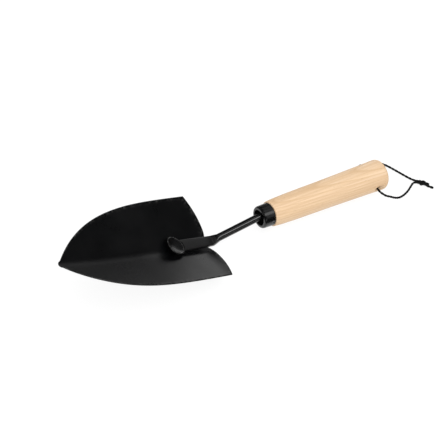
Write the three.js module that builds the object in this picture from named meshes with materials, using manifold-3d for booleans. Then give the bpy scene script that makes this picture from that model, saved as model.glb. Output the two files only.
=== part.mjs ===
// Hand trowel: a pressed sheet blade with a V-shaped trough, riveted to a cranked round tang that is
// driven into a turned wooden handle through a drawn ferrule. A cord loop hangs from a cross hole.
//
// Millimetres. X runs from the blade's tip to the handle's butt, Y across, Z up. The trowel lies on
// the plane z = 0 as it does on a table: on the heel of the blade and the thick end of the handle,
// with the tip in the air. The origin is under the middle of the trowel's box, without the cord.
import * as THREE from "three";
import { mergeVertices } from "three/addons/utils/BufferGeometryUtils.js";
import Module from "manifold-3d";

const wasm = await Module();
wasm.setup();

// ---- driving dimensions ----
const FIT_GAP = 0.3; // between pieces that touch on the real trowel

// Blade, in its own frame: x = 0 at the middle of the rear edge, the tip at -x, concave side at +z.
const BLADE_LENGTH = 156.7;
const BLADE_HALF_WIDTH = 40.1;
const BLADE_SHEET = 1.05;
const BLADE_PITCH = THREE.MathUtils.degToRad(18.5); // how far the tip is tilted up from the handle's axis
const CORNER_SETBACK = 10.1; // of the rear corners behind the middle of the rear edge
const LOBE_BULGE = 5.5; // how strongly the rear edge swells between its middle and its corners
const HEEL_NOTCH = 3.0; // depth of the hollow in the rear edge under the strap
const HEEL_NOTCH_WIDTH = 6.0;
const SIDE_POWER = 3.7; // how late the sides turn in towards the tip
const SIDE_BLUNTNESS = 0.895; // under 1 makes the tip rounder, over 1 sharper
const TIP_HALF_WIDTH = 2.25;
const TIP_WIDTH_POWER = 12; // how late the tip's own width sets in
const TIP_ROUNDING = 1.4;
const TROUGH_SLOPE = 0.39;
const TROUGH_ROUND = 4.0; // half width of the rounded bottom of the trough
const TIP_LIFT = 5.0;
const TIP_LIFT_LENGTH = 77.5;

// Tang
const ROD_RADIUS = 3.2;
const STRAP_FRONT_WIDTH = 11.6;
const STRAP_REAR_WIDTH = 9.4;
const STRAP_THICKNESS = 2.2;
const STRAP_LIFT_FRONT = 2.1; // of its underside above the bottom of the trough
const STRAP_LIFT_REAR = 2.8;
const STRAP_FRONT_X = -43.9; // blade frame
const STRAP_REAR_X = -0.2; // blade frame, where the strap starts to turn up
const BEND_X = 2.2; // blade frame
const BEND_RUN = 9; // length over which the strap closes into the rod
const BEND_LEAD = 0.28; // share of that length ahead of the bend's corner
const BEND_TURN = 1.6; // how much sooner the section turns than it closes
const TANG_OFFSET = 1.5; // of the spike above the handle's axis
const SPIKE_LENGTH = 101; // from the ferrule's mouth into the wood
const SPIKE_TAPER = 12; // length of its pointed end

// Rivet
const RIVET_X = -38.7; // blade frame
const RIVET_HEAD_RADIUS = 8.7;
const RIVET_SEAT = 3.6; // of the head's underside above the bottom of the trough
const RIVET_HEAD_HEIGHT = 2.1;
const RIVET_RIM = 0.9;
const RIVET_DISH = 1.5;
const RIVET_SHANK_RADIUS = 2.4;
const RIVET_CUTTER_HEIGHT = 9; // of the tools that cut its holes
const RIVET_TAIL_RADIUS = 4.4;
const RIVET_TAIL_HEIGHT = 1.3;

// Ferrule and handle: distances run from the ferrule's mouth along the handle's axis.
const MOUTH_X = 46.6; // ahead of the blade frame's origin
const FERRULE_LENGTH = 10.4;
const FERRULE_FRONT_RADIUS = 9.5;
const FERRULE_REAR_RADIUS = 9.8;
const FERRULE_WALL = 1.1;
const FERRULE_MOUTH_RADIUS = 6.8;
const FERRULE_LIP = 1.8; // radius of its rounded front edge
const SPIGOT_START = 5.5;
const HANDLE_LENGTH = 127.6;
const SHOULDER_RADIUS = 10.8;
const HANDLE_FRONT_RADIUS = 11.2;
const HANDLE_BUTT_RADIUS = 13.4;
const HANDLE_SWELL = [[34, 11.8], [65, 12.15], [96, 12.75], [112, 13.1]]; // [distance, radius]
const BUTT_ROUNDING = 3.8;

// Cord loop
const CORD_DIAMETER = 1.8;
const CORD_HOLE_RADIUS = 2.5;
const CORD_HOLE_AT = 116.8; // from the ferrule's mouth

const HANDLE_Z = HANDLE_BUTT_RADIUS;
const TIP_PITCH = BLADE_PITCH + Math.atan((2 * TIP_LIFT) / TIP_LIFT_LENGTH);
const TIP_TOP_X = -BLADE_LENGTH * Math.cos(BLADE_PITCH) + TIP_LIFT * Math.sin(BLADE_PITCH);
const TIP_X = TIP_TOP_X - BLADE_SHEET * Math.sin(TIP_PITCH);
const MIDDLE_X = (TIP_X + MOUTH_X + HANDLE_LENGTH) / 2;
const HEEL_Z = BLADE_SHEET * Math.cos(BLADE_PITCH) - HEEL_NOTCH * Math.sin(BLADE_PITCH); // heel on z = 0

// ---- shapes ----

// A closed solid from rings of points. Each ring has an even number of points, the second half of
// them facing the first half, and the two end rings are closed by strips between those halves.
function loft(rings) {
  const count = rings[0].length;
  const positions = rings.flat().flatMap((p) => p.toArray());
  const triangles = [];
  for (let r = 0; r + 1 < rings.length; r++) {
    for (let i = 0; i < count; i++) {
      const a = r * count + i;
      const b = r * count + ((i + 1) % count);
      triangles.push(a, b, b + count, a, b + count, a + count);
    }
  }
  const last = (rings.length - 1) * count;
  for (let i = 0; i + 1 < count / 2; i++) {
    const j = count - 1 - i;
    triangles.push(i, j, j - 1, i, j - 1, i + 1);
    triangles.push(last + i, last + i + 1, last + j - 1, last + i, last + j - 1, last + j);
  }
  const geometry = new THREE.BufferGeometry();
  geometry.setAttribute("position", new THREE.Float32BufferAttribute(positions, 3));
  geometry.setIndex(triangles);
  return geometry;
}

// A body of revolution about the X axis from [distance along X, radius] pairs.
function turned(profile, segments = 40) {
  const points = profile.map(([along, radius]) => new THREE.Vector2(radius, -along));
  return new THREE.LatheGeometry(points, segments).rotateZ(Math.PI / 2);
}

// A body of revolution about the Z axis from [radius, height] pairs.
function turnedUpright(profile, segments = 36) {
  const points = profile.map(([radius, height]) => new THREE.Vector2(radius, height));
  return new THREE.LatheGeometry(points, segments).rotateX(Math.PI / 2);
}

// Points of a quarter circle from one angle to another, as [along, radius] pairs.
function arc(centreAlong, centreRadius, radius, from, to, steps = 6) {
  return Array.from({ length: steps + 1 }, (_, i) => {
    const angle = THREE.MathUtils.degToRad(from + ((to - from) * i) / steps);
    return [centreAlong + radius * Math.cos(angle), centreRadius + radius * Math.sin(angle)];
  });
}

function solid(geometry) {
  const bare = geometry.index ? geometry.clone() : geometry;
  bare.deleteAttribute("normal");
  bare.deleteAttribute("uv");
  const merged = mergeVertices(bare, 1e-4);
  return new wasm.Manifold(
    new wasm.Mesh({
      numProp: 3,
      vertProperties: merged.attributes.position.array,
      triVerts: new Uint32Array(merged.index.array),
    }),
  );
}

function geometryOf(body) {
  const mesh = body.getMesh();
  const geometry = new THREE.BufferGeometry();
  geometry.setAttribute("position", new THREE.BufferAttribute(mesh.vertProperties, 3));
  geometry.setIndex(new THREE.BufferAttribute(mesh.triVerts, 1));
  return geometry;
}

function cut(geometry, ...tools) {
  return geometryOf(tools.reduce((body, tool) => body.subtract(solid(tool)), solid(geometry)));
}

// The tool that cuts the rivet's hole, upright about the Z axis.
function rivetCutter() {
  const radius = RIVET_SHANK_RADIUS + FIT_GAP;
  return new THREE.CylinderGeometry(radius, radius, RIVET_CUTTER_HEIGHT, 24).rotateX(Math.PI / 2);
}

// ---- blade ----

// Height of the blade's concave surface in the blade frame.
function troughHeight(x, y) {
  const side = TROUGH_SLOPE * (Math.hypot(y, TROUGH_ROUND) - TROUGH_ROUND);
  const pastLift = Math.max(0, -(x + BLADE_LENGTH - TIP_LIFT_LENGTH));
  return side + TIP_LIFT * (pastLift / TIP_LIFT_LENGTH) ** 2;
}

// A point of the concave surface: across runs from -1 to 1, along from 0 at the heel to 1 at the tip.
function bladeSurface(across, along) {
  const v = Math.abs(across);
  const notch = HEEL_NOTCH * Math.exp(-(((v * BLADE_HALF_WIDTH) / HEEL_NOTCH_WIDTH) ** 2));
  const rear = LOBE_BULGE * v * (1 - v) - CORNER_SETBACK * v * v - notch;
  const front = -BLADE_LENGTH + TIP_ROUNDING * v * v;
  const side = BLADE_HALF_WIDTH * (1 - along ** SIDE_POWER) ** SIDE_BLUNTNESS;
  const x = rear + (front - rear) * along;
  const y = across * Math.hypot(side, TIP_HALF_WIDTH * along ** TIP_WIDTH_POWER);
  return new THREE.Vector3(x, y, troughHeight(x, y));
}

// The matching point of the convex side, one sheet thickness down the surface's normal.
function bladeUnderside(top) {
  const step = 0.01;
  const slopeX = (troughHeight(top.x + step, top.y) - troughHeight(top.x - step, top.y)) / (2 * step);
  const slopeY = (troughHeight(top.x, top.y + step) - troughHeight(top.x, top.y - step)) / (2 * step);
  const normal = new THREE.Vector3(-slopeX, -slopeY, 1).normalize();
  return top.clone().addScaledVector(normal, -BLADE_SHEET);
}

function bladeGeometry() {
  const stations = 22;
  const divisions = 24;
  const spacing = 1.25; // over 1 brings the divisions closer together in the trough
  const rings = [];
  for (let s = 0; s <= stations; s++) {
    const along = Math.sin((Math.PI / 2) * (s / stations));
    const top = [];
    for (let i = 0; i <= divisions; i++) {
      const linear = (2 * i) / divisions - 1;
      top.push(bladeSurface(Math.sign(linear) * Math.abs(linear) ** spacing, along));
    }
    rings.push([...top, ...top.map(bladeUnderside).reverse()]);
  }
  return cut(loft(rings), rivetCutter().translate(RIVET_X, 0, 0));
}

// ---- tang ----

// A point of the middle plane, given in the blade frame, in the frame whose X is the handle's axis.
function fromBladeFrame(x, z) {
  return new THREE.Vector3(
    x * Math.cos(BLADE_PITCH) + z * Math.sin(BLADE_PITCH),
    0,
    -x * Math.sin(BLADE_PITCH) + z * Math.cos(BLADE_PITCH) + HEEL_Z,
  );
}

// A cross-section of the tang at a point: from a flat strap (flatness 1) to a round rod (flatness 0).
function tangSection(centre, pitch, width, thickness, flatness) {
  const count = 24;
  const power = 2 / (2 + 5 * flatness);
  const ring = [];
  for (let i = 0; i < count; i++) {
    const angle = (2 * Math.PI * (i + 0.5)) / count;
    const c = Math.cos(angle);
    const s = Math.sin(angle);
    const across = (width / 2) * Math.sign(c) * Math.abs(c) ** power;
    const up = (thickness / 2) * Math.sign(s) * Math.abs(s) ** power;
    ring.push(new THREE.Vector3(-up * Math.sin(pitch), across, up * Math.cos(pitch)).add(centre));
  }
  return ring;
}

// Height of the strap's middle above the bottom of the trough: the strap rises towards the heel.
function strapMiddle(x) {
  const t = (x - STRAP_FRONT_X) / (STRAP_REAR_X - STRAP_FRONT_X);
  return THREE.MathUtils.lerp(STRAP_LIFT_FRONT, STRAP_LIFT_REAR, t) + STRAP_THICKNESS / 2;
}

function tangGeometry() {
  const rodZ = HANDLE_Z + TANG_OFFSET;
  const bend = fromBladeFrame(BEND_X, strapMiddle(BEND_X));
  const mouth = new THREE.Vector3(MOUTH_X, 0, rodZ);
  const neckPitch = Math.atan2(mouth.z - bend.z, mouth.x - bend.x);
  const rings = [];

  // The strap: a rounded front end, then a slow taper to the heel.
  const strap = [
    [STRAP_FRONT_X, 0.35],
    [STRAP_FRONT_X + 1, 0.72],
    [STRAP_FRONT_X + 3, 0.95],
    [STRAP_FRONT_X + 6, 1],
    [STRAP_REAR_X, STRAP_REAR_WIDTH / STRAP_FRONT_WIDTH],
  ];
  for (const [x, share] of strap) {
    const centre = fromBladeFrame(x, strapMiddle(x));
    rings.push(tangSection(centre, -BLADE_PITCH, STRAP_FRONT_WIDTH * share, STRAP_THICKNESS, 1));
  }

  // The forged bend: the strap turns up and closes into the round rod.
  const rodDiameter = 2 * ROD_RADIUS;
  for (let i = 1; i <= 5; i++) {
    const t = i / 5;
    const ease = t * t * (3 - 2 * t);
    const along = (t - BEND_LEAD) * BEND_RUN;
    const centre = bend.clone();
    centre.x += along * Math.cos(along < 0 ? BLADE_PITCH : neckPitch);
    centre.z += along < 0 ? -along * Math.sin(BLADE_PITCH) : along * Math.sin(neckPitch);
    const width = THREE.MathUtils.lerp(STRAP_REAR_WIDTH, rodDiameter, ease);
    const thickness = THREE.MathUtils.lerp(STRAP_THICKNESS, rodDiameter, ease);
    const pitch = THREE.MathUtils.lerp(-BLADE_PITCH, neckPitch, Math.min(1, BEND_TURN * t));
    rings.push(tangSection(centre, pitch, width, thickness, 1 - ease));
  }

  // The neck rises to the ferrule, levels out inside its mouth and runs on as the spike.
  rings.push(tangSection(mouth.clone().lerp(bend, 0.06), neckPitch, rodDiameter, rodDiameter, 0));
  rings.push(tangSection(mouth.clone().setX(MOUTH_X + 2.5), 0, rodDiameter, rodDiameter, 0));
  const spikeEnd = MOUTH_X + SPIKE_LENGTH;
  rings.push(tangSection(mouth.clone().setX(spikeEnd - SPIKE_TAPER), 0, rodDiameter, rodDiameter, 0));
  rings.push(tangSection(mouth.clone().setX(spikeEnd), 0, ROD_RADIUS, ROD_RADIUS, 0));

  const holeCentre = fromBladeFrame(RIVET_X, strapMiddle(RIVET_X));
  const hole = rivetCutter().rotateY(BLADE_PITCH).translate(holeCentre.x, 0, holeCentre.z);

  // The round pocket in the strap's front end that the rivet's head sits in.
  const pocketDepth = 8;
  const pocketRadius = RIVET_HEAD_RADIUS + FIT_GAP;
  const pocketCentre = fromBladeFrame(RIVET_X, RIVET_SEAT - FIT_GAP + pocketDepth / 2);
  const pocket = new THREE.CylinderGeometry(pocketRadius, pocketRadius, pocketDepth, 48);
  pocket.rotateX(Math.PI / 2).rotateY(BLADE_PITCH).translate(pocketCentre.x, 0, pocketCentre.z);
  return cut(loft(rings), hole, pocket);
}

// ---- rivet: a dished head on the strap, a shank, and a tail peened over under the blade ----
function rivetGeometry() {
  const top = RIVET_SEAT + RIVET_HEAD_HEIGHT;
  const floor = top - RIVET_DISH;
  const tailTop = -BLADE_SHEET - FIT_GAP;
  return turnedUpright([
    [0, floor],
    [RIVET_HEAD_RADIUS - RIVET_RIM - 1.6, floor],
    [RIVET_HEAD_RADIUS - RIVET_RIM, top - 0.2],
    [RIVET_HEAD_RADIUS - RIVET_RIM / 2, top],
    [RIVET_HEAD_RADIUS, top - 0.3],
    [RIVET_HEAD_RADIUS - 0.5, RIVET_SEAT],
    [RIVET_SHANK_RADIUS, RIVET_SEAT],
    [RIVET_SHANK_RADIUS, tailTop],
    [RIVET_TAIL_RADIUS, tailTop],
    [RIVET_TAIL_RADIUS * 0.8, tailTop - RIVET_TAIL_HEIGHT * 0.7],
    [0, tailTop - RIVET_TAIL_HEIGHT],
  ].reverse());
}

// ---- ferrule: a drawn cup, open at the rear, with a rounded mouth for the rod ----
function ferruleGeometry() {
  const mouth = arc(FERRULE_LIP, FERRULE_FRONT_RADIUS - FERRULE_LIP, FERRULE_LIP, 90, 180, 5);
  return turned([
    [FERRULE_LENGTH, FERRULE_REAR_RADIUS],
    ...mouth,
    [0.15, FERRULE_MOUTH_RADIUS],
    [FERRULE_WALL, FERRULE_MOUTH_RADIUS],
    [FERRULE_LIP + 0.4, FERRULE_FRONT_RADIUS - FERRULE_WALL],
    [FERRULE_LENGTH, FERRULE_REAR_RADIUS - FERRULE_WALL],
    [FERRULE_LENGTH, FERRULE_REAR_RADIUS],
  ]);
}

// ---- handle ----
function handleGeometry() {
  const shoulder = FERRULE_LENGTH + FIT_GAP;
  const spigotFront = FERRULE_FRONT_RADIUS - FERRULE_WALL - FIT_GAP;
  const spigotRear = FERRULE_REAR_RADIUS - FERRULE_WALL - FIT_GAP;
  const body = turned([
    [SPIGOT_START, 0],
    [SPIGOT_START, spigotFront - 0.6],
    [SPIGOT_START + 0.6, spigotFront],
    [shoulder, spigotRear],
    [shoulder, SHOULDER_RADIUS - 1],
    [shoulder + 0.5, SHOULDER_RADIUS - 0.3],
    [shoulder + 1.4, SHOULDER_RADIUS],
    [shoulder + 6, HANDLE_FRONT_RADIUS],
    ...HANDLE_SWELL,
    ...arc(HANDLE_LENGTH - BUTT_ROUNDING, HANDLE_BUTT_RADIUS - BUTT_ROUNDING, BUTT_ROUNDING, 90, 0, 7),
    [HANDLE_LENGTH, 0],
  ].reverse());

  const boreRadius = ROD_RADIUS + FIT_GAP;
  const boreEnd = SPIKE_LENGTH + 1;
  const bore = turned([
    [boreEnd, 0],
    [boreEnd, ROD_RADIUS / 2 + FIT_GAP],
    [boreEnd - SPIKE_TAPER, boreRadius],
    [SPIGOT_START - 2, boreRadius],
    [SPIGOT_START - 2, 0],
  ], 24).translate(0, 0, TANG_OFFSET);

  // The cord hole, opened out a little at both mouths.
  const reach = HANDLE_BUTT_RADIUS + 1;
  const cordHole = new THREE.LatheGeometry([
    new THREE.Vector2(0, -reach),
    new THREE.Vector2(CORD_HOLE_RADIUS + 1.7, -reach),
    new THREE.Vector2(CORD_HOLE_RADIUS, -reach + 2.2),
    new THREE.Vector2(CORD_HOLE_RADIUS, reach - 2.2),
    new THREE.Vector2(CORD_HOLE_RADIUS + 1.7, reach),
    new THREE.Vector2(0, reach),
  ], 24).translate(CORD_HOLE_AT, 0, 0);
  return cut(body, bore, cordHole);
}

// ---- cord loop ----
// Points run from the middle of the cord hole: along X, across Y, and height above z = 0. Each side
// leaves its mouth of the hole, falls to the surface and runs along it to the knot.
const NEAR_SIDE = [
  [0, -0.2, 12.3],
  [0, -5, 12.3],
  [-0.2, -10, 12.35],
  [-0.4, -13.2, 12.45],
  [-0.1, -15.8, 12.5],
  [1, -18.3, 12.4],
  [3.4, -20.7, 11.6],
  [7.8, -22.1, 9.8],
  [13.6, -23, 6.5],
  [19.3, -22.9, 3.8],
  [24.8, -21.8, 2.1],
  [29.7, -20.2, 1.2],
  [34.3, -18.2, 0.95],
  [38.8, -15.6, 0.95],
  [42.2, -13.7, 0.95],
  [45, -13.4, 1],
  [47, -14.8, 1.3],
];
const FAR_SIDE = [
  [0, 0.2, 12.3],
  [0, 5, 12.3],
  [0, 9.8, 12.3],
  [0.2, 13, 12.1],
  [0.5, 15.1, 10.9],
  [1.1, 16.4, 8.7],
  [2, 17.2, 6.1],
  [3.8, 18, 3.7],
  [7, 18.7, 1.9],
  [11.5, 19, 1.05],
  [16.8, 18.5, 0.95],
  [22, 17.4, 0.95],
  [26.5, 15.2, 0.95],
  [30, 11.9, 0.95],
  [33.1, 7.6, 0.95],
  [36, 3, 0.95],
  [38.8, -1.5, 0.95],
  [41.6, -6, 0.95],
  [44.3, -9.6, 0.95],
  [46.6, -11.9, 1.1],
  [48.3, -13.4, 1.4],
];
const LONG_TAIL = [
  [52.4, -19.2, 1.7],
  [54, -20.8, 1.15],
  [55.9, -22.6, 0.95],
  [58, -24.6, 0.95],
];
const SHORT_TAIL = [
  [53.2, -17.3, 1.7],
  [54.8, -18.6, 1.15],
  [56.4, -20, 0.95],
];
const KNOT_CENTRE = [50.2, -16.9, 2.25];
const KNOT_HALF_SIZE = [3.0, 2.5, 2.15];

function cordCurve(points) {
  return new THREE.CatmullRomCurve3(points.map(([x, y, z]) => new THREE.Vector3(x, y, z)));
}

function cordGeometry(points, steps) {
  const sides = 8;
  const section = new THREE.Shape();
  for (let i = 0; i < sides; i++) {
    const angle = (2 * Math.PI * i) / sides;
    const x = (CORD_DIAMETER / 2) * Math.cos(angle);
    const y = (CORD_DIAMETER / 2) * Math.sin(angle);
    if (i === 0) section.moveTo(x, y);
    else section.lineTo(x, y);
  }
  section.closePath();
  return new THREE.ExtrudeGeometry(section, { steps, extrudePath: cordCurve(points) });
}

function knotGeometry() {
  const knot = new THREE.SphereGeometry(1, 16, 10);
  return knot.scale(...KNOT_HALF_SIZE).rotateZ(-Math.PI / 4).translate(...KNOT_CENTRE);
}

// ---- assembly ----
const blackSteel = new THREE.MeshStandardMaterial({ color: 0x26272a, roughness: 0.7, metalness: 0.3 });
const glossSteel = new THREE.MeshStandardMaterial({ color: 0x1b1c1e, roughness: 0.4, metalness: 0.3 });
const wood = new THREE.MeshStandardMaterial({ color: 0xe9cba4, roughness: 0.65 });
const cord = new THREE.MeshStandardMaterial({ color: 0x0d0d0e, roughness: 0.9 });

function part(name, geometry, material) {
  const mesh = new THREE.Mesh(geometry, material.clone());
  mesh.name = name;
  return mesh;
}

const trowel = new THREE.Group();
trowel.position.x = -MIDDLE_X;

const bladeFrame = new THREE.Group();
bladeFrame.position.z = HEEL_Z;
bladeFrame.rotation.y = BLADE_PITCH;
bladeFrame.add(part("blade", bladeGeometry(), blackSteel));
const rivet = part("rivet", rivetGeometry(), glossSteel);
rivet.position.x = RIVET_X;
bladeFrame.add(rivet);
trowel.add(bladeFrame, part("tang", tangGeometry(), glossSteel));

const handleAxis = new THREE.Group();
handleAxis.position.set(MOUTH_X, 0, HANDLE_Z);
handleAxis.add(part("ferrule", ferruleGeometry(), glossSteel), part("handle", handleGeometry(), wood));
trowel.add(handleAxis);

const lanyard = new THREE.Group();
lanyard.position.x = MOUTH_X + CORD_HOLE_AT;
lanyard.add(
  part("cord_near_side", cordGeometry(NEAR_SIDE, 30), cord),
  part("cord_far_side", cordGeometry(FAR_SIDE, 36), cord),
  part("cord_long_tail", cordGeometry(LONG_TAIL, 4), cord),
  part("cord_short_tail", cordGeometry(SHORT_TAIL, 3), cord),
  part("cord_knot", knotGeometry(), cord),
);
trowel.add(lanyard);

export default trowel;
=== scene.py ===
"""Hand trowel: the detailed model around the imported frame. Metres; X along the handle, Z up."""
import math

import bpy
import numpy as np
from mathutils import Matrix, Vector


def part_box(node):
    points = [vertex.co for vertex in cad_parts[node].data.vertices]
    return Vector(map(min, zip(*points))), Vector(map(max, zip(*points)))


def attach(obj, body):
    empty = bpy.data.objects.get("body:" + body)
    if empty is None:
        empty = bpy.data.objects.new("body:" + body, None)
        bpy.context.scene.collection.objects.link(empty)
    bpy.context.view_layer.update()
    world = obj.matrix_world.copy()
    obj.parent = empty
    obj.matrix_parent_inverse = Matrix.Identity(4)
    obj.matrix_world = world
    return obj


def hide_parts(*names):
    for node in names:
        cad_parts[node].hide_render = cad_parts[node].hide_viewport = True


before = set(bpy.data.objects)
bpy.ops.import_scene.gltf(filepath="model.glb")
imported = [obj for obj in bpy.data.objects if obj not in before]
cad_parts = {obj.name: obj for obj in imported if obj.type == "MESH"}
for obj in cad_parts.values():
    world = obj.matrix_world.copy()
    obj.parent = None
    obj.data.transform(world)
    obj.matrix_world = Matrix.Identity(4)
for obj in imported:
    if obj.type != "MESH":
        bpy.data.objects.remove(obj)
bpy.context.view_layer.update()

MM = 0.001

# ---- dimensions, in millimetres, as in the CAD part ----
FIT_GAP = 0.3

BLADE_LENGTH = 156.7
BLADE_HALF_WIDTH = 40.1
BLADE_SHEET = 1.05
BLADE_PITCH = math.radians(18.5)
CORNER_SETBACK = 10.1
LOBE_BULGE = 5.5
HEEL_NOTCH = 3.0
HEEL_NOTCH_WIDTH = 6.0
SIDE_POWER = 3.7
SIDE_BLUNTNESS = 0.895
TIP_HALF_WIDTH = 2.25
TIP_WIDTH_POWER = 12
TIP_ROUNDING = 1.4
TROUGH_SLOPE = 0.39
TROUGH_ROUND = 4.0
TIP_LIFT = 5.0
TIP_LIFT_LENGTH = 77.5
HEEL_Z = BLADE_SHEET * math.cos(BLADE_PITCH) - HEEL_NOTCH * math.sin(BLADE_PITCH)

ROD_RADIUS = 3.2
STRAP_FRONT_WIDTH = 11.6
STRAP_REAR_WIDTH = 9.4
STRAP_THICKNESS = 2.2
STRAP_LIFT_FRONT = 2.1
STRAP_LIFT_REAR = 2.8
STRAP_FRONT_X = -43.9
STRAP_REAR_X = -0.2
BEND_X = 2.2
BEND_RUN = 9.0
BEND_LEAD = 0.28
BEND_TURN = 1.6
TANG_OFFSET = 1.5
SPIKE_LENGTH = 101.0
SPIKE_TAPER = 12

RIVET_X = -38.7
RIVET_HEAD_RADIUS = 8.7
RIVET_SEAT = 3.6
RIVET_HEAD_HEIGHT = 2.1
RIVET_SHANK_RADIUS = 2.4
RIVET_TAIL_RADIUS = 4.4

MOUTH_X = 46.6
FERRULE_LENGTH = 10.4
FERRULE_FRONT_RADIUS = 9.5
FERRULE_REAR_RADIUS = 9.8
FERRULE_WALL = 1.1
FERRULE_MOUTH_RADIUS = 6.8
FERRULE_LIP = 1.8
SPIGOT_START = 5.5
HANDLE_LENGTH = 127.6
SHOULDER_RADIUS = 10.8
HANDLE_BUTT_RADIUS = 13.4
BUTT_ROUNDING = 3.8
HANDLE_Z = HANDLE_BUTT_RADIUS

CORD_DIAMETER = 1.8
CORD_HOLE_RADIUS = 2.5
CORD_HOLE_AT = 116.8

# The CAD frame's origin lies this far ahead of the blade frame's origin.
MIDDLE_X = MOUTH_X + HANDLE_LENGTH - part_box("handle")[1][0] / MM
HOLE_X = MOUTH_X + CORD_HOLE_AT - MIDDLE_X

# ---- details that only this model has, in millimetres ----
CLOSED_END = 0.02  # radius that stands for a point on the axis

STRAP_TIP = 6  # length of the strap's rounded front end
STRAP_TIP_SHARES = [  # distance from the front, share of the width, share of the thickness
    (0.0, 0.30, 0.55), (0.15, 0.45, 0.8), (0.5, 0.60, 0.94), (1.0, 0.72, 1.0),
    (1.8, 0.84, 1.0), (3.0, 0.93, 1.0), (4.6, 0.98, 1.0), (6.0, 1.0, 1.0),
]
STRAP_SQUARENESS = 6  # added to the exponent 2 of a round section
NECK_LEVELS_IN = 3  # length inside the ferrule's mouth over which the rod levels out

RIVET_LEAN_ALONG = -0.168  # slopes of the head's rim
RIVET_LEAN_ACROSS = 0.03
RIVET_HEAD = [  # shift of the ring's centre along X, radius, height over the rim's plane
    (-2.3, CLOSED_END, -1.95), (-2.3, 1.3, -1.93), (-2.2, 2.6, -1.8), (-1.9, 3.9, -1.5),
    (-1.35, 5.2, -1.05), (-0.7, 6.4, -0.55), (-0.25, 7.2, -0.2), (-0.05, 7.65, -0.04), (0, 7.9, 0),
    (0, 8.2, 0), (0, 8.5, -0.1), (0, RIVET_HEAD_RADIUS, -0.35), (0, 8.6, -0.62), (0, 8.3, -0.8),
    (0, 7.6, -0.86),
]

RIVET_RIM_FROM = 7.5  # the head's rim is coloured lighter outside this radius, above this height: worn coat and a painted highlight
RIVET_RIM_LOWEST = -0.4
RIVET_CLEARANCE = 0.05  # between the head's underside and the pocket's floor
RIVET_FOOT_RADIUS = 5.6
RIVET_TAIL = [(1, 0.35), (1, 0.75), (0.8, 1.3), (0.4, 1.55)]  # share of the radius, depth
RIVET_TAIL_HEIGHT = 1.6
POCKET_CORNER = 0.3
POCKET_DRAFT = 0.1

FERRULE_EDGE = 0.3  # rounding of the rear edge
FERRULE_MOUTH_EDGE = [  # distance from the mouth, added to the mouth's radius
    (0.1, 0.1), (0.4, -0.05), (0.9, 0), (FERRULE_WALL + 0.2, 0.35),
]
STAKE_FROM = 3  # distances from the ferrule's mouth
STAKE_AT = 8.3
STAKE_ANGLES = (168, 222, 20, 300)
STAKE_DEPTH = 0.55
STAKE_RADIUS = 0.75

SPIGOT_PLAY = 0.25  # between the wood and the steel around or inside it
SHOULDER_GAP = 0.15  # between the ferrule's rear edge and the wood
SHOULDER_ROUNDING = 0.8
HANDLE_BODY = [  # distance from the ferrule's mouth, radius
    (15, 11.17), (19, 11.38), (26, 11.62), (34, 11.84), (48, 12.0), (65, 12.17), (80, 12.42),
    (96, 12.76), (106, 12.98), (112, 13.12), (118, 13.28), (122, 13.38),
]

CORD_MOUTH_START = 0.35  # the hole's rounded mouths: how far in from the butt's radius they start
CORD_MOUTH_DEPTH = 2.2
CORD_MOUTH_WIDTH = 1.9
CORD_MOUTH_POWER = 2.2
CUTTER_LONGER = 1.6  # the drill's ends, outside the wood
CUTTER_WIDER = 2.6

ROPE_LAY = 6.8  # length of one turn of the cord's twist
ROPE_NARROW = 0.84  # shares of the stated diameter: between the two plies, and what a ply adds
ROPE_SWELL = 0.26
ROPE_FLOOR = 0.02  # the cord is flattened here where it rests
TAIL_DIAMETER = 2.1
KNOT_SCALE = (0.92, 0.52, 0.80)
KNOT_TURN = math.radians(-45)
KNOT_ROPE_DIAMETER = 2.3
KNOT_ROPE_LAY = 5.5


# ---- camera ----
def make_camera():
    """From above the blade's near side, turned about its own axis as the part lies in the view."""
    right = (0.83106, -0.49954, 0.24453)
    up = (0.29986, 0.77273, 0.55945)
    back = (-0.46842, -0.39161, 0.79198)
    place = (-0.5724 - MIDDLE_X * MM, -0.485907, 1.007244)
    data = bpy.data.cameras.new("camera")
    data.lens = 123.97
    data.sensor_width = 36.0
    data.clip_start = 0.05
    data.clip_end = 60.0
    camera = bpy.data.objects.new("camera", data)
    bpy.context.scene.collection.objects.link(camera)
    rows = [(right[i], up[i], back[i], place[i]) for i in range(3)]
    camera.matrix_world = Matrix((*rows, (0, 0, 0, 1)))
    bpy.context.scene.camera = camera


# ---- mesh helpers: all shapes are made in millimetres and stored in metres ----
def mesh_object(name, points, faces, material, sharp_angle=40):
    mesh = bpy.data.meshes.new(name)
    mesh.from_pydata((np.asarray(points, float) * MM).tolist(), [], faces)
    mesh.validate()
    mesh.update()
    mesh.polygons.foreach_set("use_smooth", [True] * len(mesh.polygons))
    mesh.set_sharp_from_angle(angle=math.radians(sharp_angle))
    mesh.materials.append(material)
    piece = bpy.data.objects.new(name, mesh)
    bpy.context.scene.collection.objects.link(piece)
    return piece


def tube_faces(rings, count):
    """Quads between consecutive rings of count points each."""
    faces = []
    for r in range(rings - 1):
        a = r * count
        b = a + count
        for i in range(count):
            j = (i + 1) % count
            faces.append((a + i, a + j, b + j, b + i))
    return faces


def capped_tube(rings):
    """Points and faces of a tube through rings, closed by a fan at each end."""
    count = len(rings[0])
    points = [p for ring in rings for p in ring]
    faces = tube_faces(len(rings), count)
    first = len(points)
    points.append(np.mean(rings[0], axis=0))
    points.append(np.mean(rings[-1], axis=0))
    last = (len(rings) - 1) * count
    for i in range(count):
        j = (i + 1) % count
        faces.append((first, j, i))
        faces.append((first + 1, last + i, last + j))
    return points, faces


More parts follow.
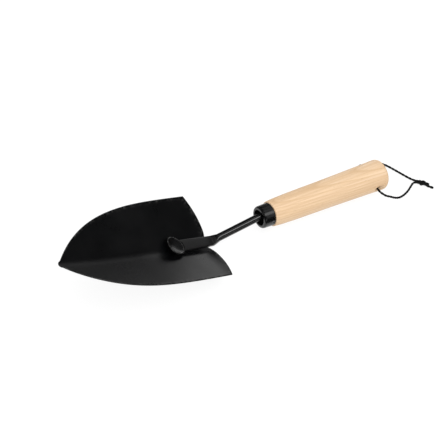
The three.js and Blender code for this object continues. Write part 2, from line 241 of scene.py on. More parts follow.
def turned(profile, segments, centre, bump=None):
    """Rings of a body turned about X from (along, radius) pairs, with bump(along, angle) added."""
    rings = []
    for along, radius in profile:
        ring = []
        for i in range(segments):
            angle = 2 * math.pi * i / segments
            r = max(radius, CLOSED_END)
            if bump:
                r += bump(along, angle)
            ring.append((along, r * math.cos(angle), r * math.sin(angle)))
        rings.append(np.array(ring) + centre)
    return rings


def subtract(piece, cutter, sharp_angle):
    """Cut one mesh out of another, and remove the cutter."""
    modifier = piece.modifiers.new("cut", "BOOLEAN")
    modifier.operation = "DIFFERENCE"
    modifier.solver = "EXACT"
    modifier.object = cutter
    graph = bpy.context.evaluated_depsgraph_get()
    result = bpy.data.meshes.new_from_object(piece.evaluated_get(graph))
    piece.modifiers.remove(modifier)
    piece.data = result
    bpy.data.objects.remove(cutter)
    result.set_sharp_from_angle(angle=math.radians(sharp_angle))


def arc(centre_along, centre_radius, radius, start, end, steps):
    """(along, radius) pairs of a rounded edge, between two angles in degrees."""
    angles = np.radians(np.linspace(start, end, steps + 1))
    return [(centre_along + radius * math.cos(a), centre_radius + radius * math.sin(a))
            for a in angles]


def blade_to_row(points):
    """Points of the blade frame, moved to the part's frame."""
    points = np.asarray(points, float)
    x, y, z = points[..., 0], points[..., 1], points[..., 2]
    c, s = math.cos(BLADE_PITCH), math.sin(BLADE_PITCH)
    return np.stack([x * c + z * s - MIDDLE_X, y, -x * s + z * c + HEEL_Z], axis=-1)


# ---- materials ----
class Shader:
    """A Principled material with a few short calls for its procedural inputs."""

    def __init__(self, name):
        self.material = bpy.data.materials.new(name)
        self.material.use_nodes = True
        self.nodes = self.material.node_tree.nodes
        self.links = self.material.node_tree.links
        self.bsdf = self.nodes["Principled BSDF"]
        self.place = self.nodes.new("ShaderNodeTexCoord").outputs["Object"]

    def node(self, kind, **settings):
        made = self.nodes.new(kind)
        for key, value in settings.items():
            setattr(made, key, value)
        return made

    def put(self, socket, value):
        if isinstance(value, bpy.types.NodeSocket):
            self.links.new(value, socket)
        else:
            socket.default_value = value

    def stretched(self, scale):
        mapping = self.node("ShaderNodeMapping")
        self.links.new(self.place, mapping.inputs["Vector"])
        mapping.inputs["Scale"].default_value = scale
        return mapping.outputs["Vector"]

    def noise(self, vector, scale, detail=2.0, roughness=0.5):
        """Noise from 0 to 1, with about scale features per metre."""
        made = self.node("ShaderNodeTexNoise")
        self.put(made.inputs["Vector"], vector)
        made.inputs["Scale"].default_value = scale
        made.inputs["Detail"].default_value = detail
        made.inputs["Roughness"].default_value = roughness
        return made.outputs["Fac"]

    def ramp(self, value, stops, interpolation="LINEAR"):
        """Greys from a value, by (place, grey) stops."""
        made = self.node("ShaderNodeValToRGB")
        made.color_ramp.interpolation = interpolation
        while len(made.color_ramp.elements) < len(stops):
            made.color_ramp.elements.new(0.5)
        for element, (place, grey) in zip(made.color_ramp.elements, stops):
            element.position = place
            element.color = (grey, grey, grey, 1)
        self.put(made.inputs["Fac"], value)
        return made.outputs["Color"]

    def math(self, operation, a, b=0.0):
        made = self.node("ShaderNodeMath", operation=operation)
        self.put(made.inputs[0], a)
        self.put(made.inputs[1], b)
        return made.outputs["Value"]

    def span(self, value, low, high, to_low, to_high):
        made = self.node("ShaderNodeMapRange")
        for key, given in zip(("Value", "From Min", "From Max", "To Min", "To Max"),
                              (value, low, high, to_low, to_high)):
            self.put(made.inputs[key], given)
        return made.outputs["Result"]

    def mix(self, factor, a, b, blend="MIX"):
        made = self.node("ShaderNodeMix", data_type="RGBA", blend_type=blend)
        self.put(made.inputs["Factor"], factor)
        self.put(made.inputs["A"], a)
        self.put(made.inputs["B"], b)
        return made.outputs["Result"]

    def axes(self):
        split = self.node("ShaderNodeSeparateXYZ")
        self.links.new(self.place, split.inputs["Vector"])
        return split.outputs["X"], split.outputs["Y"], split.outputs["Z"]

    def attribute(self, name):
        return self.node("ShaderNodeAttribute", attribute_name=name).outputs["Fac"]

    def bump(self, height, distance, strength=1.0, after=None):
        made = self.node("ShaderNodeBump")
        made.inputs["Strength"].default_value = strength
        made.inputs["Distance"].default_value = distance
        self.put(made.inputs["Height"], height)
        if after is not None:
            self.put(made.inputs["Normal"], after)
        return made.outputs["Normal"]

    def finish(self, **inputs):
        for key, value in inputs.items():
            self.put(self.bsdf.inputs[key.replace("_", " ")], value)
        return self.material


# Darkest and lightest colour of each black coat.
BLADE_TONES = ((0.0006, 0.0007, 0.0011), (0.0013, 0.0014, 0.0018))
STEEL_TONES = ((0.002, 0.002, 0.0022), (0.004, 0.004, 0.0042))
FERRULE_TONES = ((0.0016, 0.0016, 0.0018), (0.003, 0.003, 0.0032))


def black_coat(name, tones, roughness, grain_size, grain_height, specular=0.5, past_bend=0.0):
    """Black coat on steel: fine grain, soft patches of gloss, lighter where the edge attribute is
    1: worn coat, and on the rivet's rim also a painted highlight.

    grain_size and grain_height are in millimetres. past_bend is added to the roughness behind the
    tang's bend.
    """
    s = Shader(name)
    dark, light = tones
    patches = s.noise(s.place, 38, 3.0, 0.55)
    grain = s.noise(s.place, 1 / (grain_size * MM), 2.0, 0.6)
    speckle = s.noise(s.place, 900, 3.0, 0.7)
    colour = s.mix(s.span(patches, 0.35, 0.68, 0, 1), (*dark, 1), (*light, 1))
    # Lighter grey on marked edges: worn coat on the blade, and on the rivet's rim a painted
    # highlight as well.
    edge_mark_breakup = s.noise(s.place, 420, 4.0, 0.65)
    wear_and_rim_highlight = s.math("MULTIPLY", s.attribute("edge"), s.span(edge_mark_breakup, 0.5, 0.62, 0, 1))
    colour = s.mix(s.math("MULTIPLY", wear_and_rim_highlight, 0.3), colour, (0.11, 0.108, 0.104, 1))
    gloss = s.math("ADD", s.span(patches, 0.3, 0.7, roughness - 0.02, roughness + 0.02),
                   s.span(speckle, 0.3, 0.7, -0.02, 0.02))
    if past_bend:
        start = (BEND_X - MIDDLE_X) * MM
        gloss = s.math("ADD", gloss, s.span(s.axes()[0], start, start + 0.01, 0, past_bend))
    soft = s.bump(s.noise(s.place, 85, 2.0, 0.5), 0.0002, 0.2)
    fine = s.bump(grain, grain_height * MM, 0.6, after=soft)
    return s.finish(Base_Color=colour, Roughness=gloss, Normal=fine, Specular_IOR_Level=specular)


PITH_Y, PITH_Z = 0.021, 0.034  # the rings' centre lies this far to -Y and -Z, in metres
RING_SPACING = 0.0021


def pale_wood():
    """Straight-grained pale hardwood: growth rings about an offset pith, fibres and flecks."""
    s = Shader("pale_wood")
    warp = s.noise(s.stretched((7, 40, 40)), 1.0, 2.0, 0.5)
    x, y, z = s.axes()
    off = s.span(warp, 0.2, 0.8, -0.0009, 0.0009)
    across = s.math("ADD", y, s.math("ADD", off, PITH_Y))
    upward = s.math("ADD", z, s.math("ADD", off, PITH_Z))
    tilt = s.math("MULTIPLY", x, 0.035)
    square = s.math("ADD", s.math("MULTIPLY", across, across), s.math("MULTIPLY", upward, upward))
    distance = s.math("ADD", s.math("SQRT", square), tilt)
    ring = s.math("FRACT", s.math("MULTIPLY", distance, 1 / RING_SPACING))
    rings = s.ramp(ring, [(0.0, 0.0), (0.62, 0.35), (0.9, 1.0), (1.0, 0.0)], "EASE")
    fibres = s.noise(s.stretched((18, 1300, 1300)), 1.0, 3.0, 0.6)
    lines = s.noise(s.stretched((3.5, 620, 620)), 1.0, 2.0, 0.55)
    streaks = s.noise(s.stretched((7, 260, 260)), 1.0, 2.0, 0.5)
    flecks = s.noise(s.stretched((320, 3600, 3600)), 1.0, 1.0, 0.5)
    pale = (0.665, 0.478, 0.298, 1)
    tan = (0.545, 0.362, 0.200, 1)
    base = s.mix(s.span(streaks, 0.36, 0.66, 0, 1), pale, (0.652, 0.486, 0.330, 1))
    base = s.mix(s.span(lines, 0.42, 0.60, 0, 0.6), base, (0.550, 0.362, 0.205, 1))
    colour = s.mix(s.math("MULTIPLY", rings, 0.85), base, tan)
    colour = s.mix(s.span(fibres, 0.42, 0.78, 0, 0.5), colour, (0.50, 0.33, 0.19, 1))
    colour = s.mix(s.span(flecks, 0.66, 0.74, 0, 0.45), colour, (0.30, 0.18, 0.095, 1))
    # Painted shade: the spigot inside the ferrule is coloured near-black, so the ferrule's mouth
    # shows as a black hollow.
    shoulder = (MOUTH_X + FERRULE_LENGTH - MIDDLE_X) * MM
    outside = s.span(x, shoulder - 0.0003, shoulder + 0.0001, 0, 1)
    colour = s.mix(outside, (0.004, 0.003, 0.002, 1), colour)
    rough = s.span(fibres, 0.3, 0.7, 0.5, 0.66)
    height = s.math("ADD", s.math("MULTIPLY", fibres, 0.7), s.span(flecks, 0.6, 0.74, 0, -0.6))
    return s.finish(Base_Color=colour, Roughness=rough, Normal=s.bump(height, 0.00006, 0.5))


def cord_black():
    s = Shader("cord_black")
    fuzz = s.noise(s.place, 5200, 3.0, 0.7)
    colour = s.ramp(s.noise(s.place, 2400, 2.0, 0.6), [(0.3, 0.002), (0.75, 0.008)])
    return s.finish(Base_Color=colour, Roughness=0.82, Specular_IOR_Level=0.2,
                    Normal=s.bump(fuzz, 0.00008, 0.8))


def floor_white():
    s = Shader("floor")
    tone = s.noise(s.place, 3.0, 2.0, 0.5)
    colour = s.ramp(tone, [(0.3, 0.145), (0.7, 0.155)])
    return s.finish(Base_Color=colour, Roughness=0.9, Specular_IOR_Level=0.1,
                    Emission_Color=(1, 1, 1, 1), Emission_Strength=0.87)


# ---- cord ----
# The routes run from the middle of the cord hole: along X, across Y, height above the floor.
NEAR_SIDE = [
    (0, -0.2, 12.3), (0, -5, 12.3), (-0.2, -10, 12.35), (-0.4, -13.2, 12.45), (-0.1, -15.8, 12.5),
    (1.0, -18.3, 12.4), (3.4, -20.7, 11.6), (7.8, -22.1, 9.8), (13.6, -23.0, 6.5),
    (19.3, -22.9, 3.8), (24.8, -21.8, 2.1), (29.7, -20.2, 1.2), (34.3, -18.2, 0.95),
    (38.8, -15.6, 0.95), (42.2, -13.7, 0.95), (45.0, -13.4, 1.0), (47.0, -14.8, 1.3),
    (48.7, -16.2, 1.8),
]
FAR_SIDE = [
    (0, 0.2, 12.3), (0, 5, 12.3), (0, 9.8, 12.3), (0.2, 13.0, 12.1), (0.5, 15.1, 10.9),
    (1.1, 16.4, 8.7), (2.0, 17.2, 6.1), (3.8, 18.0, 3.7), (7.0, 18.7, 1.9), (11.5, 19.0, 1.05),
    (16.8, 18.5, 0.95), (22.0, 17.4, 0.95), (26.5, 15.2, 0.95), (30.0, 11.9, 0.95),
    (33.1, 7.6, 0.95), (36.0, 3.0, 0.95), (38.8, -1.5, 0.95), (41.6, -6.0, 0.95),
    (44.3, -9.6, 0.95), (46.6, -11.9, 1.1), (48.3, -13.4, 1.4), (49.6, -15.0, 1.8),
]
LONG_TAIL = [(51.4, -18.2, 2.0), (52.4, -19.2, 1.7), (54.0, -20.8, 1.15), (55.9, -22.6, 0.95),
             (58.0, -24.6, 0.95)]
SHORT_TAIL = [(52.0, -16.5, 2.0), (53.2, -17.3, 1.7), (54.8, -18.6, 1.15), (56.4, -20.0, 0.95)]
KNOT_CENTRE = (50.2, -16.9, 2.25)


def smooth_route(points, step=0.3, closed=False):
    """Evenly spaced points on a Catmull-Rom curve through the given ones."""
    given = np.array(points, float)
    if closed:
        ends = np.vstack([given[-1], given, given[0], given[1]])
    else:
        ends = np.vstack([2 * given[0] - given[1], given, 2 * given[-1] - given[-2]])
    fine = []
    for i in range(1, len(ends) - 2):
        a, b, c, d = ends[i - 1:i + 3]
        for t in np.linspace(0, 1, 24, endpoint=False):
            fine.append(0.5 * (2 * b + (c - a) * t + (2 * a - 5 * b + 4 * c - d) * t ** 2
                               + (3 * b - a - 3 * c + d) * t ** 3))
    fine.append(ends[-2])
    fine = np.array(fine)
    run = np.concatenate([[0], np.cumsum(np.linalg.norm(np.diff(fine, axis=0), axis=1))])
    count = max(4, int(round(run[-1] / step)))
    even = np.linspace(0, run[-1], count + 1)
    return np.stack([np.interp(even, run, fine[:, k]) for k in range(3)], axis=1)


def rope_rings(route, diameter, lay=ROPE_LAY, taper=0.0):
    """Cross-sections of a two-ply twisted cord along a route."""
    rings = []
    forward = np.gradient(route, axis=0)
    forward /= np.linalg.norm(forward, axis=1)[:, None]
    side = np.cross(forward[0], (0, 0, 1.0))
    if np.linalg.norm(side) < 0.1:
        side = np.cross(forward[0], (1.0, 0, 0))
    run = np.concatenate([[0], np.cumsum(np.linalg.norm(np.diff(route, axis=0), axis=1))])
    sides = 20
    angles = 2 * math.pi * np.arange(sides) / sides
    for i, point in enumerate(route):
        side = side - forward[i] * np.dot(side, forward[i])
        side /= np.linalg.norm(side)
        top = np.cross(forward[i], side)
        turn = 2 * math.pi * run[i] / lay
        waist = np.abs(np.cos(angles - turn))
        radius = diameter / 2 * (ROPE_NARROW + ROPE_SWELL * waist ** 1.4)
        from_end = min(run[i], run[-1] - run[i])
        if taper and from_end < taper:
            radius = radius * (0.55 + 0.45 * from_end / taper)
        offset = np.cos(angles)[:, None] * side + np.sin(angles)[:, None] * top
        ring = point + radius[:, None] * offset
        ring[:, 2] = np.maximum(ring[:, 2], ROPE_FLOOR)
        rings.append(ring)
    return rings


def rope(name, points, material, diameter=CORD_DIAMETER):
    route = smooth_route(np.array(points, float) + (HOLE_X, 0, 0))
    piece = mesh_object(name, *capped_tube(rope_rings(route, diameter, taper=0.25)), material, 60)
    return piece, route


def knot_points():
    """A small trefoil, the shape of an overhand knot pulled tight, turned along the cord."""
    points = []
    count = 18
    for i in range(count):
        t = 2 * math.pi * i / count
        x = KNOT_SCALE[0] * (math.sin(t) + 2 * math.sin(2 * t))
        y = KNOT_SCALE[1] * (math.cos(t) - 2 * math.cos(2 * t)) + 0.2
        z = -KNOT_SCALE[2] * math.sin(3 * t)
        points.append((x, y, z))
    c, s = math.cos(KNOT_TURN), math.sin(KNOT_TURN)
    return [(x * c - y * s, x * s + y * c, z) for x, y, z in points]


def make_knot(material):
    route = smooth_route(knot_points(), closed=True)[:-1]
    route = route + (HOLE_X + KNOT_CENTRE[0], KNOT_CENTRE[1], KNOT_CENTRE[2])
    rings = rope_rings(np.vstack([route, route[:1]]), KNOT_ROPE_DIAMETER, KNOT_ROPE_LAY)
    return mesh_object("knot", *capped_tube(rings), material, 60)


def make_cords(material):
    near, near_route = rope("cord_near", NEAR_SIDE, material)
    far, far_route = rope("cord_far", FAR_SIDE, material)
    long_tail, _ = rope("tail_long", LONG_TAIL, material, TAIL_DIAMETER)
    short_tail, _ = rope("tail_short", SHORT_TAIL, material, TAIL_DIAMETER)
    knot = make_knot(material)
    for piece, node in ((near, "cord_near_side"), (far, "cord_far_side"), (knot, "cord_knot"),
                        (long_tail, "cord_long_tail"), (short_tail, "cord_short_tail")):
        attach(piece, "lanyard")
        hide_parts(node)


# ---- blade ----
def trough_height(x, y):
    """Height of the blade's concave side in the blade frame."""
    side = TROUGH_SLOPE * (np.hypot(y, TROUGH_ROUND) - TROUGH_ROUND)
    past = np.maximum(0, -(x + BLADE_LENGTH - TIP_LIFT_LENGTH))
    return side + TIP_LIFT * (past / TIP_LIFT_LENGTH) ** 2


def blade_point(across, along):
    """A point of the concave side: across from -1 to 1, along from 0 (heel) to 1 (tip)."""
    v = abs(across)
    notch = HEEL_NOTCH * math.exp(-(v * BLADE_HALF_WIDTH / HEEL_NOTCH_WIDTH) ** 2)
    rear = LOBE_BULGE * v * (1 - v) - CORNER_SETBACK * v * v - notch
    front = -BLADE_LENGTH + TIP_ROUNDING * v * v
    side = BLADE_HALF_WIDTH * (1 - along ** SIDE_POWER) ** SIDE_BLUNTNESS
    x = rear + (front - rear) * along
    y = across * math.hypot(side, TIP_HALF_WIDTH * along ** TIP_WIDTH_POWER)
    return np.array([x, y, trough_height(x, y)])


def blade_normal(point):
    x, y, _ = point
    step = 0.01
    slope_x = (trough_height(x + step, y) - trough_height(x - step, y)) / (2 * step)
    slope_y = (trough_height(x, y + step) - trough_height(x, y - step)) / (2 * step)
    normal = np.array([-slope_x, -slope_y, 1.0])
    return normal / np.linalg.norm(normal)


def make_blade(material):
    """A grid over the concave side, its copy below, and a rounded rim all round between them."""
    stations, divisions = 110, 96
    spacing = 1.15  # over 1 brings the divisions closer together in the trough
    rim_steps = 5
    rim_bulge = 0.36 * BLADE_SHEET
    worn_cells = 3
    grid = []
    for s in range(stations + 1):
        along = math.sin(math.pi / 2 * s / stations)
        row = []
        for i in range(divisions + 1):
            linear = 2 * i / divisions - 1
            row.append(blade_point(math.copysign(abs(linear) ** spacing, linear), along))
        grid.append(row)
    grid = np.array(grid)
    normals = np.array([[blade_normal(p) for p in row] for row in grid])
    count = divisions + 1
    points = list(grid.reshape(-1, 3)) + list((grid - BLADE_SHEET * normals).reshape(-1, 3))
    faces = []
    shift = (stations + 1) * count
    for s in range(stations):
        for i in range(divisions):
            a = s * count + i
            quad = (a, a + count, a + count + 1, a + 1)
            faces.append(quad)
            faces.append(tuple(shift + k for k in reversed(quad)))
    rim = list(range(count))
    rim += [s * count + divisions for s in range(1, stations + 1)]
    rim += [stations * count + i for i in range(divisions - 1, -1, -1)]
    rim += [s * count for s in range(stations - 1, 0, -1)]
    flat_normals = normals.reshape(-1, 3)
    flat = grid.reshape(-1, 3)
    rows = [rim]
    around = [flat[k] for k in rim]
    for k in range(1, rim_steps):
        angle = math.pi * k / rim_steps
        row = []
        for n, index in enumerate(rim):
            before, after = around[n - 1], around[(n + 1) % len(rim)]
            outward = np.cross(after - before, flat_normals[index])
            outward /= max(np.linalg.norm(outward), 1e-9)
            middle = flat[index] - flat_normals[index] * BLADE_SHEET / 2
            bulge = rim_bulge * math.sin(angle)
            lift = BLADE_SHEET / 2 * math.cos(angle)
            row.append(len(points))
            points.append(middle + outward * bulge + flat_normals[index] * lift)
        rows.append(row)
    rows.append([shift + k for k in rim])
    for upper, lower in zip(rows, rows[1:]):
        for n in range(len(rim)):
            m = (n + 1) % len(rim)
            faces.append((upper[n], upper[m], lower[m], lower[n]))
    piece = mesh_object("blade_sheet", blade_to_row(points), faces, material, 50)
    mark = piece.data.attributes.new("edge", "FLOAT", "POINT")
    level = np.zeros(len(points))
    for row in rows:
        level[row] = 1.0
    for s in range(stations + 1):
        for i in range(count):
            near = min(i, divisions - i, stations - s, s)
            if near < worn_cells:
                for k in (s * count + i, shift + s * count + i):
                    level[k] = max(level[k], 1 - near / worn_cells)
    mark.data.foreach_set("value", level)
    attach(piece, "trowel")
    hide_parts("blade")


# ---- tang ----
def tang_ring(centre, pitch, width, thickness, flatness):
    """A cross-section of the tang: a round rod at flatness 0, a flat strap at flatness 1."""
    count = 48
    power = 2 / (2 + STRAP_SQUARENESS * flatness)
    ring = []
    for i in range(count):
        angle = 2 * math.pi * (i + 0.5) / count
        c, s = math.cos(angle), math.sin(angle)
        across = width / 2 * math.copysign(abs(c) ** power, c)
        up = thickness / 2 * math.copysign(abs(s) ** power, s)
        ring.append((centre[0] - up * math.sin(pitch), across, centre[2] + up * math.cos(pitch)))
    return np.array(ring)


def strap_middle(x):
    """Height of the strap's middle in the blade frame: it rises towards the heel."""
    t = (x - STRAP_FRONT_X) / (STRAP_REAR_X - STRAP_FRONT_X)
    return STRAP_LIFT_FRONT + t * (STRAP_LIFT_REAR - STRAP_LIFT_FRONT) + STRAP_THICKNESS / 2


def make_tang(material):
    bend = blade_to_row((BEND_X, 0, strap_middle(BEND_X)))
    mouth = np.array([MOUTH_X - MIDDLE_X, 0, HANDLE_Z + TANG_OFFSET])
    neck_pitch = math.atan2(mouth[2] - bend[2], mouth[0] - bend[0])
    rings = []
    for step, share, thick in STRAP_TIP_SHARES:
        x = STRAP_FRONT_X + step
        rings.append(tang_ring(blade_to_row((x, 0, strap_middle(x))), -BLADE_PITCH,
                               STRAP_FRONT_WIDTH * share, STRAP_THICKNESS * thick, 1))
    for t in np.linspace(0, 1, 14)[1:]:
        x = STRAP_FRONT_X + STRAP_TIP + t * (STRAP_REAR_X - STRAP_FRONT_X - STRAP_TIP)
        width = STRAP_FRONT_WIDTH + t * (STRAP_REAR_WIDTH - STRAP_FRONT_WIDTH)
        rings.append(tang_ring(blade_to_row((x, 0, strap_middle(x))), -BLADE_PITCH, width,
                               STRAP_THICKNESS, 1))
    rod = 2 * ROD_RADIUS
    bend_steps = 14
    for i in range(1, bend_steps + 1):
        t = i / bend_steps
        ease = t * t * (3 - 2 * t)
        along = (t - BEND_LEAD) * BEND_RUN
        centre = bend.copy()
        heading = -BLADE_PITCH if along < 0 else neck_pitch
        centre[0] += along * math.cos(heading)
        centre[2] += along * math.sin(heading)
        pitch = -BLADE_PITCH + (neck_pitch + BLADE_PITCH) * min(1, BEND_TURN * t)
        rings.append(tang_ring(centre, pitch, STRAP_REAR_WIDTH + (rod - STRAP_REAR_WIDTH) * ease,
                               STRAP_THICKNESS + (rod - STRAP_THICKNESS) * ease, 1 - ease))
    start = rings[-1].mean(axis=0)
    for t in np.linspace(0, 1, 10)[1:-1]:
        rings.append(tang_ring(start + t * (mouth - start), neck_pitch, rod, rod, 0))
    for step in (0.5, 1.5, NECK_LEVELS_IN):
        centre = mouth + (step, 0, 0)
        rings.append(tang_ring(centre, neck_pitch * (1 - step / NECK_LEVELS_IN), rod, rod, 0))
    spike_end = mouth[0] + SPIKE_LENGTH
    rings.append(tang_ring((spike_end - SPIKE_TAPER, 0, mouth[2]), 0, rod, rod, 0))
    rings.append(tang_ring((spike_end, 0, mouth[2]), 0, ROD_RADIUS, ROD_RADIUS, 0))
    piece = mesh_object("tang_bar", *capped_tube(rings), material, 50)
    sink_rivet_pocket(piece)
    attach(piece, "trowel")
    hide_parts("tang")


def sink_rivet_pocket(piece):
    """The round pocket in the strap's end for the rivet's head, and the hole for its shank."""
    floor = RIVET_SEAT - FIT_GAP
    pocket = RIVET_HEAD_RADIUS + FIT_GAP
    shank = RIVET_SHANK_RADIUS + FIT_GAP / 2
    below, above = -3, floor + 8
    profile = [(CLOSED_END, below), (shank, below), (shank, floor), (pocket - POCKET_CORNER, floor),
               (pocket, floor + POCKET_CORNER), (pocket + POCKET_DRAFT, above), (CLOSED_END, above)]
    segments = 96
    angles = 2 * math.pi * np.arange(segments) / segments
    rings = []
    for radius, height in profile:
        ring = np.stack([RIVET_X + radius * np.cos(angles), radius * np.sin(angles),
                         np.full(segments, float(height))], axis=1)
        rings.append(blade_to_row(ring))
    cutter = mesh_object("pocket_cutter", *capped_tube(rings), piece.data.materials[0])
    subtract(piece, cutter, 50)


# ---- rivet ----
def make_rivet(material):
    """A dished head, leaning back onto the strap, deepest towards the tip; a shank and a tail."""
    plane = RIVET_SEAT + RIVET_HEAD_HEIGHT
    seat = RIVET_SEAT - FIT_GAP + RIVET_CLEARANCE
    segments = 72
    tail_top = -BLADE_SHEET
    stem = [(RIVET_FOOT_RADIUS, seat), (RIVET_SHANK_RADIUS, seat), (RIVET_SHANK_RADIUS, tail_top)]
    stem += [(RIVET_TAIL_RADIUS * share, tail_top - depth) for share, depth in RIVET_TAIL]
    stem += [(CLOSED_END, tail_top - RIVET_TAIL_HEIGHT)]
    angles = 2 * math.pi * np.arange(segments) / segments
    rings = []
    for shift, r, height in RIVET_HEAD:
        x, y = shift + r * np.cos(angles), r * np.sin(angles)
        z = plane + height + RIVET_LEAN_ALONG * x + RIVET_LEAN_ACROSS * y
        rings.append(blade_to_row(np.stack([RIVET_X + x, y, z], axis=1))[::-1])
    for r, height in stem:
        x, y = r * np.cos(angles), r * np.sin(angles)
        z = np.full(segments, height)
        rings.append(blade_to_row(np.stack([RIVET_X + x, y, z], axis=1))[::-1])
    piece = mesh_object("rivet_head", *capped_tube(rings), material, 45)
    # The rim rings are marked for the coat's lighter edge colour: wear, and a painted highlight
    # along the rim.
    level = np.zeros(len(piece.data.vertices))
    rim = [k for k, (_, r, height) in enumerate(RIVET_HEAD)
           if r > RIVET_RIM_FROM and height > RIVET_RIM_LOWEST]
    for k in rim:
        level[k * segments:(k + 1) * segments] = 1.0
    piece.data.attributes.new("edge", "FLOAT", "POINT").data.foreach_set("value", level)
    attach(piece, "trowel")
    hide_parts("rivet")


# ---- ferrule ----
def make_ferrule(material):
    """A drawn collar: in-turned rounded mouth, plain skirt, and four staked dimples."""
    lip = FERRULE_LIP
    front, rear, wall = FERRULE_FRONT_RADIUS, FERRULE_REAR_RADIUS, FERRULE_WALL
    length = FERRULE_LENGTH
    profile = [(length, rear - FERRULE_EDGE), (length - 0.08, rear - 0.08)]
    profile += [(x, front + (rear - front) * x / length)
                for x in np.linspace(length - 0.25, lip + 0.6, 18)]
    profile += arc(lip, front - lip, lip, 90, 180, 10)
    profile += [(x, FERRULE_MOUTH_RADIUS + more) for x, more in FERRULE_MOUTH_EDGE]
    profile += [(lip + 0.5, front - wall - 0.15)]
    profile += [(x, front - wall + (rear - front) * x / length)
                for x in np.linspace(lip + 1.2, length, 14)]
    profile += [(length, rear - FERRULE_EDGE)]

    def stake(along, angle):
        if along <= STAKE_FROM:
            return 0.0
        depth = 0.0
        for where in STAKE_ANGLES:
            gap = (angle - math.radians(where) + math.pi) % (2 * math.pi) - math.pi
            reach = math.hypot(along - STAKE_AT, gap * front)
            depth -= STAKE_DEPTH * math.exp(-(reach / STAKE_RADIUS) ** 2)
        return depth

    centre = (MOUTH_X - MIDDLE_X, 0, HANDLE_Z)
    segments = 96
    rings = turned(profile, segments, centre, stake)
    points = [p for ring in rings for p in ring[::-1]]
    faces = tube_faces(len(rings), segments)
    piece = mesh_object("ferrule_collar", points, faces, material, 45)
    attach(piece, "trowel")
    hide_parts("ferrule")


# ---- handle ----
def make_handle(material):
    """The grip, the spigot in the ferrule, and the bore for the spike, as one turned skin."""
    shoulder = FERRULE_LENGTH + SHOULDER_GAP
    spigot = FERRULE_REAR_RADIUS - FERRULE_WALL - SPIGOT_PLAY
    bore = ROD_RADIUS + SPIGOT_PLAY
    bore_end = SPIKE_LENGTH + 1
    profile = [(bore_end, 0.0), (bore_end, ROD_RADIUS / 2 + 0.3), (bore_end - SPIKE_TAPER, bore),
               (6.2, bore), (SPIGOT_START, bore + 0.5), (SPIGOT_START, spigot - 1.1),
               (SPIGOT_START + 0.5, spigot - 0.6), (shoulder, spigot),
               (shoulder, SHOULDER_RADIUS - 0.9)]
    profile += arc(shoulder + SHOULDER_ROUNDING, SHOULDER_RADIUS - SHOULDER_ROUNDING,
                   SHOULDER_ROUNDING, 180, 90, 6)
    profile += [(shoulder + 2.2, 10.97), *HANDLE_BODY]
    profile += arc(HANDLE_LENGTH - BUTT_ROUNDING, HANDLE_BUTT_RADIUS - BUTT_ROUNDING,
                   BUTT_ROUNDING, 90, 0, 16)
    profile += [(HANDLE_LENGTH, 3.5), (HANDLE_LENGTH, 0.0)]
    centre = np.array([MOUTH_X - MIDDLE_X, 0, HANDLE_Z])
    rings = []
    for along, radius in profile:
        raised = TANG_OFFSET if along <= bore_end and radius <= bore + 0.6 else 0.0
        rings += turned([(along, radius)], 128, centre + (0, 0, raised))
    piece = mesh_object("handle_grip", *capped_tube(rings), material, 42)
    drill_cord_hole(piece)
    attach(piece, "trowel")
    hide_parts("handle")


def drill_cord_hole(piece):
    """The cross hole for the cord, its mouths rounded over."""
    reach = HANDLE_BUTT_RADIUS + CUTTER_LONGER
    profile = [(-reach, 0.0), (-reach, CORD_HOLE_RADIUS + CUTTER_WIDER)]
    profile += [(-HANDLE_BUTT_RADIUS + CORD_MOUTH_START + CORD_MOUTH_DEPTH * t,
                 CORD_HOLE_RADIUS + CORD_MOUTH_WIDTH * (1 - t) ** CORD_MOUTH_POWER)
                for t in np.linspace(0, 1, 8)]
    profile += [(-x, r) for x, r in reversed(profile)]
    rings = turned(profile, 48, (0, 0, 0))
    rings = [np.stack([-ring[:, 1] + HOLE_X, ring[:, 0], ring[:, 2] + HANDLE_Z], axis=1)
             for ring in rings]
    cutter = mesh_object("cord_hole_cutter", *capped_tube(rings), piece.data.materials[0])
    subtract(piece, cutter, 42)


# ---- floor and lights ----
CENTRE = (0, 0, 0)
HEEL = (-0.035, -0.025, 0.02)
ALONG_X = (1, 0, 0)
ALONG_Y = (0, 1, 0)

FLOOR_Z = -0.00015  # a little below the part, so that no faces share a plane

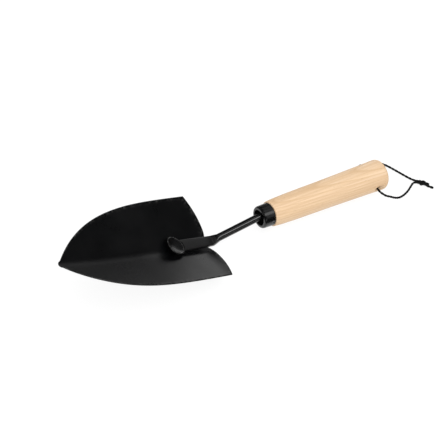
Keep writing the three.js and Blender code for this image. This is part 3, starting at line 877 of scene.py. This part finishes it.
# Name, place, the point it faces, width and height, radiance, direction of the width (None: level).
# Diffuse surfaces see only the soft lights, and reflections see only the cards.
SOFT_LIGHTS = [
    ("overhead", (0, 0.05, 1.1), CENTRE, (1.3, 1.3), 1.6, ALONG_X),
    ("fill", (-0.2, -1.5, 0.6), CENTRE, (1.3, 0.9), 2.0, None),
]
CARDS = [
    ("top_card", (0.3, -0.38, 1.1), CENTRE, (1.15, 0.5), 2.6, ALONG_X),
    ("rod_card", (0.12, -0.45, 1.08), CENTRE, (0.35, 0.25), 1.7, None),
    ("far_card", (0.37, 0.35, 0.03), HEEL, (0.34, 0.26), 0.21, None),
    ("heel_card", (0.262, 0.195, 0.03), HEEL, (0.13, 0.11), 1.15, None),
    ("strap_card", (1.0, 0.47, 0.48), CENTRE, (0.35, 0.30), 0.14, None),
    ("high_card", (0.55, 0.28, 1.0), CENTRE, (0.5, 0.45), 0.6, None),
    ("sky_card", (-0.05, 0.36, 1.15), CENTRE, (0.50, 0.40), 0.6, ALONG_X),
    ("rear_near_card", (0.62, -0.80, 0.70), CENTRE, (0.45, 0.40), 0.6, None),
    ("rear_far_card", (0.52, 0.78, 0.74), CENTRE, (0.40, 0.40), 0.5, None),
    ("tip_card", (-0.85, 0, 0.90), CENTRE, (1.0, 0.35), 0.6, ALONG_Y),
    ("low_card", (0.16, 1.3, -0.05), CENTRE, (0.9, 0.45), 0.5, None),
    ("floor_card", (0, 0, -0.5), CENTRE, (2.4, 2.4), 1.1, ALONG_X),
    ("front_card", (-0.15, -1.4, 0.5), CENTRE, (1.2, 0.5), 0.8, None),
    ("left_card", (-1.4, 0.15, 0.55), CENTRE, (0.9, 0.5), 0.5, None),
    ("back_card", (-0.75, 1.3, 0.7), CENTRE, (0.9, 0.5), 0.5, None),
]


def make_light(name, place, target, size, radiance, across, soft):
    data = bpy.data.lights.new(name, "AREA")
    data.shape = "RECTANGLE"
    data.size, data.size_y = size
    data.energy = radiance * math.pi * size[0] * size[1]
    lamp = bpy.data.objects.new(name, data)
    outward = (Vector(place) - Vector(target)).normalized()
    side = Vector(across) if across else Vector((0, 0, 1)).cross(outward)
    side = (side - outward * side.dot(outward)).normalized()
    top = outward.cross(side)
    rows = [(side[i], top[i], outward[i], place[i]) for i in range(3)]
    lamp.matrix_world = Matrix((*rows, (0, 0, 0, 1)))
    lamp.visible_camera = False
    lamp.visible_diffuse = soft
    lamp.visible_glossy = not soft
    bpy.context.scene.collection.objects.link(lamp)


def make_studio(material):
    half = 4.0
    mesh = bpy.data.meshes.new("floor")
    corners = [(-half, -half, 0), (half, -half, 0), (half, half, 0), (-half, half, 0)]
    mesh.from_pydata(corners, [], [(0, 1, 2, 3)])
    mesh.materials.append(material)
    floor = bpy.data.objects.new("floor", mesh)
    floor.location.z = FLOOR_Z
    floor.visible_glossy = False
    bpy.context.scene.collection.objects.link(floor)

    for light in SOFT_LIGHTS:
        make_light(*light, soft=True)
    for card in CARDS:
        make_light(*card, soft=False)

    world = bpy.data.worlds.new("world")
    world.use_nodes = True
    background = world.node_tree.nodes["Background"]
    background.inputs["Color"].default_value = (1, 1, 1, 1)
    background.inputs["Strength"].default_value = 0.95
    world.cycles_visibility.glossy = False
    bpy.context.scene.world = world


bpy.context.scene.view_settings.view_transform = "Standard"
make_camera()
make_cords(cord_black())
make_blade(black_coat("blade_coat", BLADE_TONES, 0.30, 0.8, 0.012))
make_tang(black_coat("tang_coat", STEEL_TONES, 0.34, 1.1, 0.03, specular=0.8, past_bend=-0.18))
make_rivet(black_coat("rivet_coat", STEEL_TONES, 0.28, 1.0, 0.02))
make_ferrule(black_coat("ferrule_coat", FERRULE_TONES, 0.24, 0.9, 0.012))
make_handle(pale_wood())
make_studio(floor_white())
